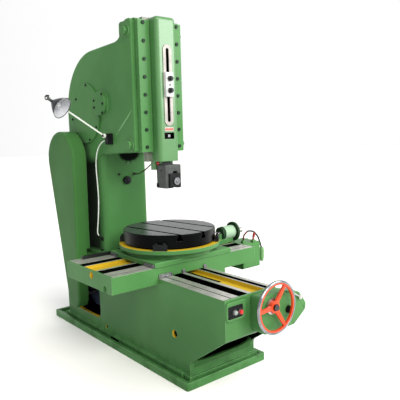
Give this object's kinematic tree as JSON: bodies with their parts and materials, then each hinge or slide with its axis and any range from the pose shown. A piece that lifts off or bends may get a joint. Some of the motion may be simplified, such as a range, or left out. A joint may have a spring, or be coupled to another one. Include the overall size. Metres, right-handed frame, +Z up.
{
  "type": "vertical slotting machine",
  "caption": "Vertical slotting machine: hollow bed and column, tilting ram guide with crank and rocker drive, cross slides, rotary T-slot table, handwheel, belt guard and lamp.",
  "frame": {"origin": "middle of the foot on the floor", "axes": "+Z up, +Y towards the column, +X to the operator's right"},
  "size_m": [1.4609, 2.195, 2.235],
  "materials": {
    "green_enamel": "glossy green machine enamel",
    "machined_steel": "ground and scraped steel",
    "dark_steel": "blackened steel",
    "gear_steel": "cut gear steel with an oil film",
    "table_iron": "dark oiled cast iron",
    "tool_grey": "satin grey",
    "cream_plate": "pale enamelled plate",
    "chrome": "polished chrome",
    "orange_enamel": "glossy orange enamel",
    "black_plastic": "black moulded plastic",
    "red_plastic": "red moulded plastic",
    "white_plastic": "white moulded plastic",
    "lamp_black": "dark enamel outside, white inside",
    "white_enamel": "white enamelled rod",
    "bulb_glass": "frosted bulb glass",
    "cable_sheath": "white cable sheath",
    "belt_rubber": "belt rubber",
    "motor_grey": "dark motor paint",
    "copper_pipe": "dull copper pipe"
  },
  "bodies": {
    "frame": {"base_casting": "green_enamel", "column_casting": "green_enamel", "gear_cover": "green_enamel", "bearing_cap": "green_enamel", "belt_guard": "green_enamel", "drive_belts": "belt_rubber", "motor": "motor_grey", "lever_pivot_pin": "machined_steel", "oil_sight": "black_plastic", "oil_pipe": "copper_pipe", "tilt_bolts": "dark_steel", "lamp_bracket": "black_plastic", "cable_gland": "white_plastic", "lamp_cable": "cable_sheath", "feed_box": "green_enamel", "button_panel": "black_plastic"},
    "guide": {"guide_frame": "green_enamel", "guide_strips": "green_enamel", "strip_bolts": "dark_steel"},
    "ram": {"ram": "green_enamel", "ram_slot_plate": "cream_plate", "ram_clamp_block": "machined_steel", "clamp_nuts": "dark_steel", "ram_bracket": "gear_steel", "tool_hinge_pin": "machined_steel"},
    "adjuster": {"ram_adjuster": "machined_steel"},
    "tool": {"tool_head": "tool_grey", "tool_clamp_plate": "dark_steel", "tool_clamp_screws": "machined_steel"},
    "lever": {"rocker_lever": "gear_steel", "crank_block": "gear_steel"},
    "bull_gear": {"bull_gear": "gear_steel"},
    "second_shaft": {"second_shaft": "gear_steel"},
    "input_shaft": {"input_shaft": "gear_steel", "driven_pulley": "dark_steel"},
    "motor_pulley": {"motor_pulley": "dark_steel"},
    "saddle": {"saddle": "green_enamel", "saddle_nut": "gear_steel", "cross_feed_box": "green_enamel"},
    "saddle_screw": {"saddle_screw": "machined_steel", "handwheel_rim": "chrome", "handwheel_spider": "orange_enamel"},
    "cross_screw": {"cross_screw": "machined_steel"},
    "cross_slide": {"cross_slide": "green_enamel", "cross_nut": "gear_steel", "table_clamps": "dark_steel", "index_bracket": "green_enamel"},
    "table": {"rotary_table": "table_iron", "table_ring_gear": "gear_steel"},
    "index_shaft": {"index_shaft": "dark_steel", "index_plate": "green_enamel"},
    "clutch_lever": {"clutch_lever": "dark_steel"},
    "trip_lever": {"trip_lever": "red_plastic"},
    "start_button": {"start_button": "white_plastic"},
    "stop_button": {"stop_button": "red_plastic"},
    "feed_knob": {"feed_knob": "black_plastic"},
    "shift_lever": {"shift_lever": "chrome"},
    "lamp_arm": {"lamp_arm": "white_enamel"},
    "lamp_shade": {"lamp_shade": "lamp_black", "lamp_bulb": "bulb_glass"}
  },
  "joints": [
    {"name": "guide_tilt", "type": "hinge", "parent": "frame", "child": "guide", "pos_m": [0, -0.192, 1.424], "axis": [1, 0, 0], "range_deg": [0, 8]},
    {"name": "ram_slide", "type": "slide", "parent": "guide", "child": "ram", "axis": [0, 0, 1], "range_m": [-0.25, 0.07]},
    {"name": "adjuster_spin", "type": "hinge", "parent": "ram", "child": "adjuster", "pos_m": [0, -0.31, 1.479], "axis": [0, 1, 0], "continuous": true},
    {"name": "tool_swing", "type": "hinge", "parent": "ram", "child": "tool", "pos_m": [0, -0.303, 1.3], "axis": [-1, 0, 0], "range_deg": [0, 6]},
    {"name": "lever_swing", "type": "hinge", "parent": "frame", "child": "lever", "pos_m": [0.039, 0.59, 1.715], "axis": [1, 0, 0], "range_deg": [-6, 20]},
    {"name": "bull_gear_spin", "type": "hinge", "parent": "frame", "child": "bull_gear", "pos_m": [-0.04, 0.162, 1.715], "axis": [1, 0, 0], "continuous": true},
    {"name": "second_shaft_spin", "type": "hinge", "parent": "frame", "child": "second_shaft", "pos_m": [-0.04, 0.43625, 1.53508], "axis": [1, 0, 0], "continuous": true},
    {"name": "input_shaft_spin", "type": "hinge", "parent": "frame", "child": "input_shaft", "pos_m": [-0.1, 0.579, 1.313], "axis": [1, 0, 0], "continuous": true},
    {"name": "motor_spin", "type": "hinge", "parent": "frame", "child": "motor_pulley", "pos_m": [-0.3, 0.485, 0.265], "axis": [1, 0, 0], "continuous": true},
    {"name": "saddle_slide", "type": "slide", "parent": "frame", "child": "saddle", "axis": [0, 1, 0], "range_m": [-0.505, 0.125]},
    {"name": "saddle_screw_spin", "type": "hinge", "parent": "frame", "child": "saddle_screw", "pos_m": [0, -1.2, 0.533], "axis": [0, 1, 0], "continuous": true},
    {"name": "cross_slide_travel", "type": "slide", "parent": "saddle", "child": "cross_slide", "axis": [1, 0, 0], "range_m": [-0.31, 0.25]},
    {"name": "cross_screw_spin", "type": "hinge", "parent": "saddle", "child": "cross_screw", "pos_m": [0, -0.28, 0.63], "axis": [1, 0, 0], "continuous": true},
    {"name": "table_rotation", "type": "hinge", "parent": "cross_slide", "child": "table", "pos_m": [0.03, -0.28, 0.73], "axis": [0, 0, 1], "continuous": true},
    {"name": "index_spin", "type": "hinge", "parent": "cross_slide", "child": "index_shaft", "pos_m": [0.56, -0.28, 0.742], "axis": [1, 0, 0], "continuous": true},
    {"name": "clutch_lever_swing", "type": "hinge", "parent": "saddle", "child": "clutch_lever", "pos_m": [0.64, -0.385, 0.675], "axis": [0, 1, 0], "range_deg": [-20, 0]},
    {"name": "trip_lever_swing", "type": "hinge", "parent": "saddle", "child": "trip_lever", "pos_m": [0.715, -0.416, 0.675], "axis": [0, 1, 0], "range_deg": [-15, 15]},
    {"name": "start_press", "type": "slide", "parent": "frame", "child": "start_button", "axis": [0, 1, 0], "range_m": [0, 0.004], "stiffness_N_per_m": 500},
    {"name": "stop_press", "type": "slide", "parent": "frame", "child": "stop_button", "axis": [0, 1, 0], "range_m": [0, 0.004], "stiffness_N_per_m": 500},
    {"name": "feed_knob_turn", "type": "hinge", "parent": "frame", "child": "feed_knob", "pos_m": [0.142, -1.245, 0.481], "axis": [0, 1, 0], "range_deg": [-60, 60]},
    {"name": "shift_lever_swing", "type": "hinge", "parent": "frame", "child": "shift_lever", "pos_m": [0.236, -1.245, 0.535], "axis": [0, 1, 0], "range_deg": [-18, 18]},
    {"name": "lamp_arm_swing", "type": "hinge", "parent": "frame", "child": "lamp_arm", "pos_m": [-0.258, 0.052, 1.49], "axis": [1, 0, 0], "range_deg": [-15, 15]},
    {"name": "lamp_shade_tilt", "type": "hinge", "parent": "lamp_arm", "child": "lamp_shade", "pos_m": [-0.586, 0.2, 1.746], "axis": [0.8897, 0.4565, 0], "range_deg": [-30, 15]}
  ],
  "couplings": [
    {"joint": "lever_swing", "follows": "ram_slide", "rad_per_m": -1.365},
    {"joint": "second_shaft_spin", "follows": "bull_gear_spin", "ratio": -3.5556},
    {"joint": "input_shaft_spin", "follows": "bull_gear_spin", "ratio": 11.111},
    {"joint": "motor_spin", "follows": "bull_gear_spin", "ratio": 40.598},
    {"joint": "saddle_screw_spin", "follows": "saddle_slide", "rad_per_m": 523.6},
    {"joint": "cross_screw_spin", "follows": "cross_slide_travel", "rad_per_m": 523.6},
    {"joint": "index_spin", "follows": "table_rotation", "ratio": -8}
  ]
}
